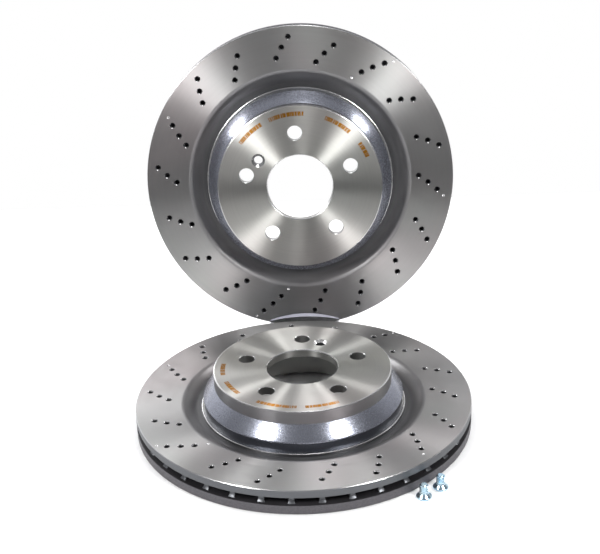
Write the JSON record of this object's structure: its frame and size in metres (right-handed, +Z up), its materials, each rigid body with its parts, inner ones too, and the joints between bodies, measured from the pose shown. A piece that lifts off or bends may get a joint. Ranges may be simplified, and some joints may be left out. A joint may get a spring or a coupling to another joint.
{
  "type": "brake disc set",
  "caption": "Set of ventilated, cross-drilled brake discs, one lying flat and one standing on edge behind it, with countersunk securing screws.",
  "frame": {"origin": "on the floor, in the middle of the set's footprint", "axes": "+Z up, +Y from the lying disc to the standing one, +X to the right as the wheel faces are seen from the front"},
  "size_m": [0.322, 0.3888, 0.334],
  "materials": {
    "disc_iron": "grey cast iron: turned hat top and ground friction faces, zinc-flake coating on the hat's cone, as-cast vents",
    "screw_zinc": "bright blue-passivated zinc on steel"
  },
  "bodies": {
    "root": {"lying_disc": "disc_iron", "standing_disc": "disc_iron", "securing_screw_1": "screw_zinc", "securing_screw_2": "screw_zinc"}
  },
  "joints": []
}
